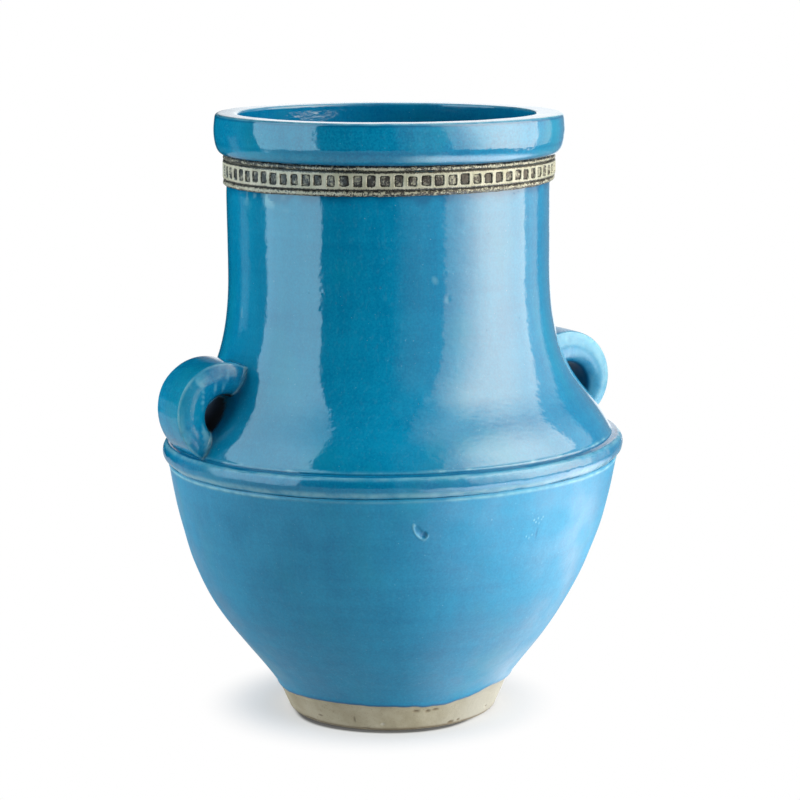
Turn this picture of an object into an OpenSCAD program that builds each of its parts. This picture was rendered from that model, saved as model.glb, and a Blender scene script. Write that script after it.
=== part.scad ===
/* [Foot] */
// Radius of the foot where its side meets the standing edge
foot_base_r = 66; // [60:0.5:80]
// Radius of the foot at the seat of the bowl
foot_top_r = 73.8; // [66:0.2:84]
// Height of the bare clay foot
foot_h = 18; // [12:0.5:24]
// Rounding of the standing edge
foot_edge = 1.4; // [0.6:0.2:2.4]
// Radius of the shallow hollow under the foot
foot_hollow_r = 50; // [35:1:56]
// Depth of the shallow hollow under the foot
foot_hollow_h = 3; // [1:0.5:6]

/* [Bowl] */
// Height of the bowl, from the foot to the underside of the ridge
bowl_h = 146.5; // [120:0.5:170]
// Radius of the belly, where the bowl and the shoulder meet
belly_r = 142.6; // [128:0.2:158]
// Wall of the bowl where it stands on the foot
base_wall = 11; // [9:0.5:14]
// Outward lean of the bowl as it leaves the foot, in mm for each mm of height
bowl_low_lean = 0.6; // [0.4:0.05:0.8]
// Share of the bowl's height over which that lean carries on
bowl_low_pull = 0.21; // [0.12:0.01:0.3]
// Outward lean of the bowl as it reaches the ridge
bowl_top_lean = 0.14; // [0.04:0.02:0.3]
// Share of the bowl's height over which that lean carries on
bowl_top_pull = 0.65; // [0.45:0.01:0.75]

/* [Ridge] */
// Height of the ridge
ridge_h = 13.5; // [9:0.5:18]
// How far the ridge stands out from the belly
ridge_proud = 4; // [2:0.2:7]
// How deep the ridge is let into the wall behind it
ridge_seat = 2.8; // [2:0.2:3.6]
// Rounding of the two outer edges of the ridge
ridge_edge = 3; // [1:0.2:4]

/* [Shoulder and neck] */
// Height of the shoulder, from the ridge to the straight neck
shoulder_h = 107.5; // [90:0.5:130]
// Inward lean of the shoulder as it leaves the ridge, in mm for each mm of height
shoulder_lean = 0.48; // [0.3:0.02:0.7]
// Share of the shoulder's height over which that lean carries on
shoulder_low_pull = 0.26; // [0.16:0.01:0.34]
// Share of the shoulder's height that the straight neck's line carries on down
shoulder_top_pull = 0.67; // [0.5:0.01:0.74]
// Radius of the straight neck
neck_r = 101.5; // [88:0.5:114]
// Height of the straight neck, from the shoulder to the band
neck_h = 52.3; // [30:0.1:90]
// Wall of the neck and the shoulder
wall_t = 8.5; // [7:0.25:10.5]

/* [Rim] */
// Height of the rim collar
rim_h = 25.3; // [20:0.1:34]
// How far the rim stands out from the neck
rim_proud = 8.3; // [5:0.1:11]
// Height of the rounded underside of the rim
rim_under_h = 8; // [5:0.5:12]
// Rounding of the outer top edge of the rim
rim_edge = 2; // [1:0.2:4]
// Rounding of the mouth's edge
mouth_edge = 1.6; // [0.8:0.2:3]
// Height of the tongue on the neck that locates the rim
tongue_h = 4; // [2:0.5:7]

/* [Band] */
// How far the band stands out from the neck
band_proud = 2.5; // [2.2:0.1:4]
// Height of the cord above the strip
upper_cord_h = 3.3; // [2:0.1:4.2]
// Height of the strip with the stamped cells
strip_h = 10.9; // [9:0.1:15]
// Height of the cord below the strip
lower_cord_h = 3.7; // [2:0.1:4.2]
// Number of stamped cells
cell_count = 80; // [60:1:96]
// Width of a cell
cell_w = 5.3; // [3.5:0.1:5.8]
// Height of a cell
cell_h = 6.2; // [4:0.1:8]
// Depth of a cell
cell_depth = 1.3; // [0.8:0.1:2]
// How much of that depth the dark fill takes up
fill_depth = 0.8; // [0.4:0.1:1.2]

/* [Handles] */
// Outer radius of a handle
handle_r = 30.4; // [26:0.2:34]
// Width of a handle along the belly
handle_w = 33; // [24:0.5:42]
// Place of a handle's middle on the shoulder's curve, from 0 at the ridge to 1 at the neck
handle_place = 0.35; // [0.32:0.01:0.42]
// How far a handle's middle lies behind the shoulder's face
handle_sink = 2.2; // [0:0.2:6]
// Radius of the hole through a handle
hole_r = 15.4; // [13:0.2:18]
// How far the hole's middle lies below the handle's middle
hole_drop = 4.4; // [2:0.2:6]
// Rounding of a handle's outer edges
handle_edge = 1.6; // [0.6:0.2:4]
// Rounding of the hole's edges
hole_edge = 2; // [0.6:0.2:4]

/* [Hidden] */
$fn = 120;
curve_steps = 20;
arc_steps = 6;
// Share of the ridge's height at which the bowl ends and the shoulder begins
joint_share = 0.3;
// Share of the ridge's height that the two walls lap
lap_share = 0.2;
// How far a cutting shape runs past the face that it cuts
past = 1;

ridge_z = foot_h + bowl_h;
shoulder_z = ridge_z + ridge_h;
neck_z = shoulder_z + shoulder_h;
band_z = neck_z + neck_h;
strip_z = band_z + lower_cord_h;
upper_cord_z = strip_z + strip_h;
rim_z = upper_cord_z + upper_cord_h;
top_z = rim_z + rim_h;

mouth_r = neck_r - wall_t;
band_r = neck_r + band_proud;
rim_r = neck_r + rim_proud;
ridge_r = belly_r + ridge_proud;
ridge_seat_r = belly_r - ridge_seat;
tongue_in_r = neck_r - wall_t * 2 / 3;
tongue_out_r = neck_r - wall_t / 3;
joint_z = ridge_z + joint_share * ridge_h;
lap_z = joint_z + lap_share * ridge_h;
cell_angle = cell_w / band_r * 180 / PI;
cell_z = strip_z + (strip_h - cell_h) / 2;

// Corners of the curve that the bowl's outline follows, each [radius, height]
bowl_curve = [
    [foot_top_r, foot_h],
    [foot_top_r + bowl_low_lean * bowl_low_pull * bowl_h, foot_h + bowl_low_pull * bowl_h],
    [belly_r - bowl_top_lean * bowl_top_pull * bowl_h, ridge_z - bowl_top_pull * bowl_h],
    [belly_r, ridge_z]
];
// Corners of the curve that the shoulder's outline follows, each [radius, height]
shoulder_curve = [
    [belly_r, shoulder_z],
    [belly_r - shoulder_lean * shoulder_low_pull * shoulder_h, shoulder_z + shoulder_low_pull * shoulder_h],
    [neck_r, neck_z - shoulder_top_pull * shoulder_h],
    [neck_r, neck_z]
];

// Point at t along a curve with four corners
function curve_point(c, t) =
    pow(1 - t, 3) * c[0] + 3 * pow(1 - t, 2) * t * c[1] + 3 * (1 - t) * t * t * c[2] + pow(t, 3) * c[3];

// Direction at t along a curve with four corners
function curve_way(c, t) =
    pow(1 - t, 2) * (c[1] - c[0]) + 2 * (1 - t) * t * (c[2] - c[1]) + t * t * (c[3] - c[2]);

// Point at t, moved square to the curve into the wall by depth d
function inset_point(c, t, d) =
    let (way = curve_way(c, t))
    curve_point(c, t) + d * [-way[1], way[0]] / norm(way);

// Points along a curve, from its first corner to its last
function outside(c) = [for (i = [0:curve_steps]) curve_point(c, i / curve_steps)];

// Points along the inside of the wall, from the curve's last corner back to its first
function inside(c, start_wall, end_wall) = [
    for (i = [curve_steps:-1:0])
        let (t = i / curve_steps)
        inset_point(c, t, start_wall + (end_wall - start_wall) * t)
];

// Points of an arc about a centre, stretched to radii rx and ry
function arc(centre, rx, ry, from, to) = [
    for (i = [0:arc_steps])
        let (a = from + (to - from) * i / arc_steps)
        centre + [rx * cos(a), ry * sin(a)]
];

floor_edge = inset_point(bowl_curve, 0, base_wall);
bowl_inner_top_r = inset_point(bowl_curve, 1, wall_t)[0];
lap_r = (bowl_inner_top_r + ridge_seat_r) / 2;
handle_seat = curve_point(shoulder_curve, handle_place);
handle_x = handle_seat[0] - handle_sink;
handle_z = handle_seat[1];

// Outer form of the closed body that the handles are cut to fit
module body_form() {
    rotate_extrude()
        polygon(concat(
            [[0, foot_h]],
            outside(bowl_curve),
            [[ridge_r, ridge_z], [ridge_r, shoulder_z]],
            outside(shoulder_curve),
            [[0, neck_z]]
        ));
}

// Ring of rectangular section, over a share of a turn
module ring(inner_r, outer_r, low_z, height, angle = 360) {
    rotate_extrude(angle = angle)
        translate([inner_r, low_z])
            square([outer_r - inner_r, height]);
}

// Places its child once at each stamped cell
module at_each_cell() {
    for (i = [0:cell_count - 1])
        rotate((i + 0.5) * 360 / cell_count - cell_angle / 2)
            children();
}

// Half-round ring that lies on the neck
module cord(low_z, height) {
    round_r = height / 2;
    rotate_extrude()
        translate([neck_r, low_z]) {
            square([band_proud - round_r, height]);
            intersection() {
                square([band_proud, height]);
                translate([band_proud - round_r, round_r])
                    circle(r = round_r);
            }
        }
}

// Solid disc of a handle, about its own middle
module handle_disc() {
    half_w = handle_w / 2;
    rotate([90, 0, 0])
        rotate_extrude()
            polygon(concat(
                [[0, -half_w]],
                arc([handle_r - handle_edge, handle_edge - half_w], handle_edge, handle_edge, -90, 0),
                arc([handle_r - handle_edge, half_w - handle_edge], handle_edge, handle_edge, 0, 90),
                [[0, half_w]]
            ));
}

// Hole through a handle with rounded edges, about its own middle
module handle_hole() {
    half_w = handle_w / 2;
    rotate([90, 0, 0])
        rotate_extrude()
            polygon(concat(
                [[0, -half_w - past], [hole_r + hole_edge, -half_w - past]],
                arc([hole_r + hole_edge, hole_edge - half_w], hole_edge, hole_edge, 270, 180),
                arc([hole_r + hole_edge, half_w - hole_edge], hole_edge, hole_edge, 180, 90),
                [[hole_r + hole_edge, half_w + past], [0, half_w + past]]
            ));
}

// Ear handle on the +X side, cut to sit on the shoulder
module handle() {
    difference() {
        translate([handle_x, 0, handle_z])
            handle_disc();
        translate([handle_x, 0, handle_z - hole_drop])
            handle_hole();
        body_form();
    }
}

// Flat base of bare clay, with a raised floor that the bowl fits round
module foot() {
    color("#b3ab8e")
        rotate_extrude()
            polygon(concat(
                [
                    [0, foot_hollow_h],
                    [foot_hollow_r, foot_hollow_h],
                    [foot_hollow_r + foot_hollow_h, 0]
                ],
                arc([foot_base_r - foot_edge, foot_edge], foot_edge, foot_edge, -90, 0),
                [
                    [foot_top_r, foot_h],
                    [floor_edge[0], foot_h],
                    floor_edge,
                    [0, floor_edge[1]]
                ]
            ));
}

// Thrown bowl, open at both ends, with a ledge for the ridge and a lip for the shoulder
module lower_bowl() {
    color("#2f88b0")
        rotate_extrude()
            polygon(concat(
                outside(bowl_curve),
                [
                    [ridge_seat_r, ridge_z],
                    [ridge_seat_r, joint_z],
                    [lap_r, joint_z],
                    [lap_r, lap_z],
                    [bowl_inner_top_r, lap_z]
                ],
                inside(bowl_curve, base_wall, wall_t),
                [[floor_edge[0], foot_h]]
            ));
}

// Ring that covers the joint of the bowl and the shoulder
module shoulder_ridge() {
    color("#4a9cc0")
        rotate_extrude()
            polygon(concat(
                [[ridge_seat_r, ridge_z]],
                arc([ridge_r - ridge_edge, ridge_z + ridge_edge], ridge_edge, ridge_edge, -90, 0),
                arc([ridge_r - ridge_edge, shoulder_z - ridge_edge], ridge_edge, ridge_edge, 0, 90),
                [[ridge_seat_r, shoulder_z]]
            ));
}

// Thrown shoulder and neck, lapped over the bowl's lip, with a tongue for the rim
module upper_wall() {
    color("#1d7ba9")
        rotate_extrude()
            polygon(concat(
                [
                    [lap_r, joint_z],
                    [ridge_seat_r, joint_z],
                    [ridge_seat_r, shoulder_z]
                ],
                outside(shoulder_curve),
                [
                    [neck_r, rim_z],
                    [tongue_out_r, rim_z],
                    [tongue_out_r, rim_z + tongue_h],
                    [tongue_in_r, rim_z + tongue_h],
                    [tongue_in_r, rim_z],
                    [mouth_r, rim_z]
                ],
                inside(shoulder_curve, wall_t, wall_t),
                [
                    [inset_point(shoulder_curve, 0, wall_t)[0], lap_z],
                    [lap_r, lap_z]
                ]
            ));
}

// Thick collar round the mouth, grooved below for the neck's tongue
module rim_collar() {
    color("#2a86b4")
        rotate_extrude()
            polygon(concat(
                [
                    [mouth_r, rim_z],
                    [tongue_in_r, rim_z],
                    [tongue_in_r, rim_z + tongue_h],
                    [tongue_out_r, rim_z + tongue_h],
                    [tongue_out_r, rim_z]
                ],
                arc([band_r, rim_z + rim_under_h], rim_r - band_r, rim_under_h, -90, 0),
                arc([rim_r - rim_edge, top_z - rim_edge], rim_edge, rim_edge, 0, 90),
                arc([mouth_r + mouth_edge, top_z - mouth_edge], mouth_edge, mouth_edge, 90, 180)
            ));
}

// Cream strip round the neck with a row of stamped cells
module band_strip() {
    color("#b9b394")
        difference() {
            ring(neck_r, band_r, strip_z, strip_h);
            at_each_cell()
                ring(band_r - cell_depth, band_r + past, cell_z, cell_h, cell_angle);
        }
}

// Cord above the strip
module band_upper_cord() {
    color("#6f6d5c")
        cord(upper_cord_z, upper_cord_h);
}

// Cord below the strip
module band_lower_cord() {
    color("#5d5a4c")
        cord(band_z, lower_cord_h);
}

// Dark fill in the floor of each stamped cell
module cell_inlays() {
    color("#33342f")
        at_each_cell()
            ring(band_r - cell_depth, band_r - cell_depth + fill_depth, cell_z, cell_h, cell_angle);
}

// Ear handle on the -X side
module left_handle() {
    color("#2a83ad")
        mirror([1, 0, 0])
            handle();
}

// Ear handle on the +X side
module right_handle() {
    color("#2a83ad")
        handle();
}

foot();
lower_bowl();
shoulder_ridge();
upper_wall();
rim_collar();
band_strip();
band_upper_cord();
band_lower_cord();
cell_inlays();
left_handle();
right_handle();
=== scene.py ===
import math
from itertools import product

import bpy
import numpy as np
from mathutils import Matrix, Vector


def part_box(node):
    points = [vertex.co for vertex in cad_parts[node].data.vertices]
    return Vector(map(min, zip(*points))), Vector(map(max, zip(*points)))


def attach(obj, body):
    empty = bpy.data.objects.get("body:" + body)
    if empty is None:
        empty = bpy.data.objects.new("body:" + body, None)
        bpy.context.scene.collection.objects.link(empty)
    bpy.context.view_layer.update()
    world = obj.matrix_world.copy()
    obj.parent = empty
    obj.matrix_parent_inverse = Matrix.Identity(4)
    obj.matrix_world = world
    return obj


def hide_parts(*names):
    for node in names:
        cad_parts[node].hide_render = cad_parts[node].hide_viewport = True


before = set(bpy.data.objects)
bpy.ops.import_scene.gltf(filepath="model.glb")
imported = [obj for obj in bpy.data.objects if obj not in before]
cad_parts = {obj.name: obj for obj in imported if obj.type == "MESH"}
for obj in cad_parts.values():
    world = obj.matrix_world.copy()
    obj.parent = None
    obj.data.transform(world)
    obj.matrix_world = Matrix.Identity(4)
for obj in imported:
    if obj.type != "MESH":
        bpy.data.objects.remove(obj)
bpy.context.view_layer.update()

# Shapes are worked out in millimetres, the stage in metres. Angles round the urn, called theta or azimuth,
# are in degrees from the side that faces the camera, with the camera's right positive.
MM = 0.001

# Camera, fitted to the photograph's outline
VIEW_TURN = math.radians(-28.0)
CAMERA_PLACE = Vector((0.00679, -1.6175, 0.4854))
CAMERA_PITCH = math.radians(10.069)
CAMERA_ROLL = math.radians(-0.503)
CAMERA_LENS_MM = 116.08
CAMERA_SENSOR_MM = 36.0
CAMERA_END = 20.0
FRONT = VIEW_TURN - math.pi / 2
RIGHT_WAY = np.array([math.cos(VIEW_TURN), math.sin(VIEW_TURN)])


def levels(node):
    """Lowest and highest level of a node, in mm."""
    low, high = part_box(node)
    return low.z / MM, high.z / MM


def reach(node):
    """How far a node stands out from the urn's axis towards +X, in mm."""
    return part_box(node)[1].x / MM


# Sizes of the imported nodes
SEAT_Z, LAP_Z = levels("lower_bowl")
FLOOR_Z = levels("foot")[1]
FOOT_TOP_R = reach("foot")
BELLY_R = reach("lower_bowl")
RIDGE_Z, SHOULDER_Z = levels("shoulder_ridge")
JOINT_Z = levels("upper_wall")[0]
BAND_Z, STRIP_Z = levels("band_lower_cord")
UPPER_CORD_Z, RIM_Z = levels("band_upper_cord")
BAND_R = reach("band_strip")
RIM_R = reach("rim_collar")
EAR_X = reach("right_handle")
EAR_TOP_Z = levels("right_handle")[1]

# Sizes that the boxes don't show, as the solids have them
FOOT_BASE_R = 66.0
FOOT_EDGE = 1.4
FOOT_HOLLOW_R = 50.0
FOOT_HOLLOW_H = 3.0
BASE_WALL = 11.0
SEAT_W = 0.857 * BASE_WALL
WALL = 8.5
NECK_R = 101.5
NECK_Z = BAND_Z - 52.3
MOUTH_R = NECK_R - WALL
RIDGE_SEAT_R = BELLY_R - 2.8
LAP_R = (BELLY_R - WALL + RIDGE_SEAT_R) / 2
TONGUE_OUT_R = NECK_R - WALL / 3
TONGUE_IN_R = NECK_R - WALL * 2 / 3
TONGUE_Z = RIM_Z + 4.0
TONGUE = [(TONGUE_OUT_R, RIM_Z), (TONGUE_OUT_R, TONGUE_Z), (TONGUE_IN_R, TONGUE_Z), (TONGUE_IN_R, RIM_Z)]
CELL_COUNT = 80
CELL_W = 5.3
CELL_H = 6.2
CELL_DEPTH = 1.3
FILL_DEPTH = 0.8
EAR_R = 30.4
EAR_W = 33.0
HOLE_R = 15.4
HOLE_DROP = 4.4


def corners_of(low, high, low_slope, high_slope, low_share, high_share):
    """Four corners of a curve between two ends, each a radius and a level. Each inner corner lies away from
    its end by a share of the height, on the slope there."""
    a, b = (share * (high[1] - low[1]) for share in (low_share, high_share))
    return [low, (low[0] + low_slope * a, low[1] + a), (high[0] - high_slope * b, high[1] - b), high]


BOWL_CURVE = corners_of((FOOT_TOP_R, SEAT_Z), (BELLY_R, RIDGE_Z), low_slope=0.6, high_slope=0.14,
                        low_share=0.21, high_share=0.65)
# The shoulder starts further in than the solid's, as in the photograph
SHOULDER_R = 139.4
SHOULDER_CURVE = corners_of((SHOULDER_R, SHOULDER_Z), (NECK_R, NECK_Z), low_slope=-0.39, high_slope=0.0,
                            low_share=0.285, high_share=0.705)

# How the kiln left the urn: sideways drift in mm and tilt in radians at each level
DRIFT_Z = [0, 45, 75, 100, 125, 168, 240, 331, 346, 381]
DRIFT = [0.2, 0.2, -0.6, 0.0, 1.1, 1.9, 0.6, 0.6, 1.25, 1.7]
TILT_Z = [0, 60, 170, 338, 355, 381]
TILT = [0.0, 0.004, 0.0096, 0.006, -0.006, -0.007]

# Edges of a mesh that turn by more than this are sharp
SHARP_DEG = 60


# Helpers for shapes


def eased(x, knots, values):
    """Value at x on a line that eases from knot to knot."""
    knots, values = np.asarray(knots, float), np.asarray(values, float)
    i = np.clip(np.searchsorted(knots, x, side="right") - 1, 0, len(knots) - 2)
    t = np.clip((x - knots[i]) / (knots[i + 1] - knots[i]), 0, 1)
    return values[i] + (values[i + 1] - values[i]) * t * t * (3 - 2 * t)


def step(x, low, high):
    """0 below low and 1 above high, with a smooth rise between."""
    t = np.clip((x - low) / (high - low), 0, 1)
    return t * t * (3 - 2 * t)


def hump(x, middle, width):
    """Bell curve over x, 1 at its middle."""
    return np.exp(-(((x - middle) / width) ** 2))


def lattice(i):
    """Repeatable value from -1 to 1 for each row of three whole numbers."""
    h = np.sin(i @ np.array([12.9898, 78.233, 37.719])) * 43758.5453
    return 2 * (h - np.floor(h)) - 1


def noise(points, cell):
    """Smooth noise from -1 to 1 at points, with features about one cell wide. A cell may be three sizes."""
    q = points / np.asarray(cell, float)
    whole = np.floor(q)
    f = q - whole
    f = f * f * (3 - 2 * f)
    total = 0
    for corner in product((0, 1), repeat=3):
        weight = np.prod(np.where(corner, f, 1 - f), axis=-1)
        total = total + weight * lattice(whole + corner)
    return total


def layers(points, *pairs):
    """Sum of noise at points, from pairs of depth and cell."""
    return sum(depth * noise(points, cell) for depth, cell in pairs)


def bend(corners, t):
    """Points at shares t along a curve with four corners."""
    t = np.asarray(t, float)[:, None]
    a, b, c, d = (np.array(p, float) for p in corners)
    return (1 - t) ** 3 * a + 3 * (1 - t) ** 2 * t * b + 3 * (1 - t) * t * t * c + t**3 * d


def radius_on(corners, level):
    """Radius of a curve with four corners at a level."""
    curve = bend(corners, np.linspace(0, 1, 400))
    return np.interp(level, curve[:, 1], curve[:, 0])


def ways(line):
    """Unit vectors square to a line of points, on its right-hand side."""
    along = np.gradient(line, axis=0)
    along = along / np.linalg.norm(along, axis=1, keepdims=True)
    return np.stack([along[:, 1], -along[:, 0]], axis=1)


def finely(line, spacing):
    """The same line of points with more put in, so that none are further apart than spacing."""
    line = np.asarray(line, float)
    parts = [line[:1]]
    for a, b in zip(line[:-1], line[1:]):
        count = max(1, math.ceil(np.linalg.norm(b[:2] - a[:2]) / spacing))
        parts.append(a + (b - a) * (np.arange(1, count + 1) / count)[:, None])
    return np.vstack(parts)


def smooth_line(marks, spacing):
    """A smooth line through marks, whose first two columns are radius and level and the rest go along."""
    marks = np.asarray(marks, float)
    ends = np.vstack([2 * marks[0] - marks[1], marks, 2 * marks[-1] - marks[-2]])
    parts = []
    for a, b, c, d in zip(ends[:-3], ends[1:-2], ends[2:-1], ends[3:]):
        count = max(2, math.ceil(np.linalg.norm(c[:2] - b[:2]) / spacing))
        t = (np.arange(count) / count)[:, None]
        parts.append(b + 0.5 * t * (c - a + t * (2 * a - 5 * b + 4 * c - d + t * (3 * (b - c) + d - a))))
    return np.vstack(parts + [marks[-1:]])


def stretches(start, *parts):
    """Values from start on, in stretches given by their ends and spacings."""
    made = []
    for end, spacing in parts:
        made.append(np.arange(start, end, spacing))
        start = end
    return np.concatenate(made)


def angles(spacing, *finer):
    """Angles round the urn, with closer ones over each stretch (from, to, spacing)."""
    theta = np.arange(-180, 180, spacing)
    for start, end, close in finer:
        theta = theta[(theta < start) | (theta > end)]
        theta = np.concatenate([theta, np.arange(start, end, close)])
    return np.sort(theta)


def round_points(theta, radius, level):
    """Points in mm, with rows along the outline and columns round the urn."""
    turn = FRONT + np.radians(theta)
    radius, level, turn = np.broadcast_arrays(radius, level, turn)
    return np.stack([radius * np.cos(turn), radius * np.sin(turn), level], axis=-1)


def first_rows(count, line):
    """True for the first points of a line, as a column."""
    return (np.arange(len(line)) < count)[:, None]


def arc_gap(theta, centre):
    """Degrees from centre to theta, the short way round."""
    return (theta - centre + 180) % 360 - 180


def warp(points):
    """Moves points as the kiln left the urn: off its axis and out of level by a little."""
    side = points[:, :2] @ RIGHT_WAY
    level = points[:, 2]
    moved = points.copy()
    moved[:, :2] += eased(level, DRIFT_Z, DRIFT)[:, None] * RIGHT_WAY
    moved[:, 2] += eased(level, TILT_Z, TILT) * side
    return moved


def push(points, line, amount):
    """Moves a grid of round points square to its outline by amount, in mm."""
    out = ways(line)
    away = points[..., :2] / np.maximum(np.linalg.norm(points[..., :2], axis=-1, keepdims=True), 1e-6)
    moved = points.copy()
    moved[..., :2] += away * (out[:, :1] * amount)[..., None]
    moved[..., 2] += out[:, 1:] * amount
    return moved


def ring_faces(rows, columns, closed=True):
    """Faces of a grid whose columns go all the way round, and whose rows do too if closed."""
    i, j = np.meshgrid(np.arange(rows if closed else rows - 1), np.arange(columns), indexing="ij")
    on = (j + 1) % columns
    here, above = i * columns, (i + 1) % rows * columns
    return np.stack([here + j, here + on, above + on, above + j], -1).reshape(-1, 4).tolist()


def pole_faces(rows, columns):
    """Faces that close such a grid with two poles, whose points follow its own."""
    pole, last = rows * columns, (rows - 1) * columns
    faces = []
    for j in range(columns):
        on = (j + 1) % columns
        faces.append([pole, on, j])
        faces.append([pole + 1, last + j, last + on])
    return faces


def add_object(name, data):
    made = bpy.data.objects.new(name, data)
    bpy.context.scene.collection.objects.link(made)
    return made


def add_piece(name, node, slot, material, points, faces, **marks):
    """Makes one mesh from points in mm, with a number at each point for each mark, in place of a node."""
    mesh = bpy.data.meshes.new(name)
    mesh.from_pydata((warp(points) * MM).tolist(), [], faces)
    mesh.polygons.foreach_set("use_smooth", np.ones(len(mesh.polygons), bool))
    mesh.set_sharp_from_angle(angle=math.radians(SHARP_DEG))
    for key, values in marks.items():
        attribute = mesh.attributes.new(key, "FLOAT", "POINT")
        attribute.data.foreach_set("value", np.asarray(values, np.float32).ravel())
    mesh.materials.append(material)
    piece = add_object(name, mesh)
    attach(piece, "root")
    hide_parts(node)


def add_turned(name, node, slot, material, points, poles=False, **marks):
    """A piece from a grid of points, rows along a closed outline and columns round the urn.
    With poles, the outline is open and single points on the axis close its ends."""
    rows, columns = points.shape[:2]
    faces = ring_faces(rows, columns, closed=not poles)
    flat = points.reshape(-1, 3)
    marks = {key: np.broadcast_to(values, (rows, columns)) for key, values in marks.items()}
    if poles:
        faces += pole_faces(rows, columns)
        flat = np.vstack([flat, [0, 0, points[0, 0, 2]], [0, 0, points[-1, 0, 2]]])
        marks = {key: np.append(values, [values[0, 0], values[-1, 0]]) for key, values in marks.items()}
    add_piece(name, node, slot, material, flat, faces, **marks)


# Materials


class Nodes:
    """Adds shader nodes to a tree by short calls. Inputs that come from nodes are linked, others set."""

    def __init__(self, tree):
        self.tree = tree

    def feed(self, socket, value):
        if isinstance(value, bpy.types.NodeSocket):
            self.tree.links.new(value, socket)
        else:
            socket.default_value = value

    def fill(self, node, inputs):
        """Outputs of a node, with inputs by name."""
        for name, value in inputs.items():
            self.feed(node.inputs[name], value)
        return node.outputs

    def add(self, kind, *inputs, **settings):
        """Outputs of a new node, with inputs in order."""
        made = self.tree.nodes.new(kind)
        for key, value in settings.items():
            setattr(made, key, value)
        for socket, value in zip(made.inputs, inputs):
            self.feed(socket, value)
        return made.outputs

    def maths(self, operation, *inputs):
        return self.add("ShaderNodeMath", *inputs, operation=operation)["Value"]

    def plus(self, a, b):
        return self.maths("ADD", a, b)

    def times(self, a, b):
        return self.maths("MULTIPLY", a, b)

    def most(self, a, b):
        return self.maths("MAXIMUM", a, b)

    def vectors(self, operation, *inputs):
        made = self.add("ShaderNodeVectorMath", *inputs, operation=operation)
        return made["Value" if operation in ("DOT_PRODUCT", "LENGTH") else "Vector"]

    def ramp(self, value, low, high, to_low=0.0, to_high=1.0):
        """Value from low to high taken smoothly to to_low and to_high."""
        inputs = value, low, high, to_low, to_high
        return self.add("ShaderNodeMapRange", *inputs, interpolation_type="SMOOTHSTEP")["Result"]


class Recipe(Nodes):
    """One procedural material on a single Principled shader, from coats of colour and layers of relief."""

    def __init__(self, name, colour=None, ior=1.5):
        self.material = bpy.data.materials.new(name)
        self.material.use_nodes = True
        super().__init__(self.material.node_tree)
        self.shader = self.tree.nodes["Principled BSDF"]
        self.shader.inputs["IOR"].default_value = ior
        self.place = self.add("ShaderNodeTexCoord")["Object"]
        self.colour = colour
        self.relief = {}

    def grain(self, size_mm, detail, stretch=(1, 1, 1)):
        """Noise from 0 to 1 with features about size_mm wide, stretched along X, Y and Z."""
        place = self.vectors("MULTIPLY", self.place, [1 / (size_mm * MM * s) for s in stretch])
        made = self.tree.nodes.new("ShaderNodeTexNoise")
        return self.fill(made, {"Vector": place, "Scale": 1.0, "Detail": detail})["Fac"]

    def mark(self, name):
        """The number that the mesh holds at each point under this name, or 0."""
        return self.add("ShaderNodeAttribute", attribute_name=name)["Fac"]

    def blend(self, share, a, b):
        """Colour a at share 0 and colour b at share 1."""
        colours = [(*c, 1.0) if isinstance(c, tuple) else c for c in (a, b)]
        return self.add("ShaderNodeMixRGB", share, *colours)["Color"]

    def coat(self, share, colour):
        self.colour = self.blend(share, self.colour, colour)

    def bump(self, height, depth_mm):
        inputs = {"Distance": depth_mm * MM, "Height": height, **self.relief}
        self.relief = {"Normal": self.fill(self.tree.nodes.new("ShaderNodeBump"), inputs)["Normal"]}

    def finish(self, roughness):
        self.fill(self.shader, {"Base Color": self.colour, "Roughness": roughness, **self.relief})
        return self.material


GLAZE_DEEP = (0.0, 0.165, 0.335)
GLAZE_PALE = (0.004, 0.268, 0.467)
GLAZE_TEAL = (0.003, 0.26, 0.385)
# Deeper glaze where it pools; also laid on as painted shade in grooves, on the ridge's outer face and at the
# ears' roots
GLAZE_POOL = (0.0, 0.09, 0.22)
# Paler glaze where it is thin; also laid on as painted highlight along the bowl's lip, the neck's hem and the
# ears' roots
GLAZE_THIN = (0.24, 0.54, 0.62)
# Painted shade, near black, laid deep in the ear holes and on the neck wall seen through the left one
GLAZE_CRUST = (0.001, 0.009, 0.024)
CLAY_MAIN = (0.33, 0.3, 0.205)
CLAY_PALE = (0.42, 0.39, 0.285)
# Fresh clay of the chip; also laid on as painted light on the foot's lit right side
CLAY_FRESH = (0.47, 0.46, 0.39)
# Brown stain; also laid on as a painted contact shadow along the foot's lower edge
CLAY_STAIN = (0.15, 0.12, 0.075)
CREAM_MAIN = (0.35, 0.36, 0.265)
CREAM_PALE = (0.47, 0.48, 0.385)
CREAM_STAIN = (0.23, 0.225, 0.155)
SOOT_DARK = (0.013, 0.014, 0.014)
SOOT_GREY = (0.12, 0.122, 0.11)
# Middle of the glaze's mottle, how far it goes to each side, and the least roughness of a matt place
MOTTLE_MIDDLE, MOTTLE_REACH = 1.7, 0.6
MATT = 0.8


def clay_colour(r):
    """Buff body clay with a few sandy grains and brown stains."""
    body = r.blend(r.ramp(r.grain(16, 4), 0.35, 0.7), CLAY_MAIN, CLAY_PALE)
    sandy = r.blend(r.ramp(r.grain(0.9, 2), 0.6, 0.72, 0, 0.4), body, CLAY_STAIN)
    return r.blend(r.ramp(r.grain(7, 5), 0.6, 0.78, 0, 0.4), sandy, CLAY_STAIN)


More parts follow.
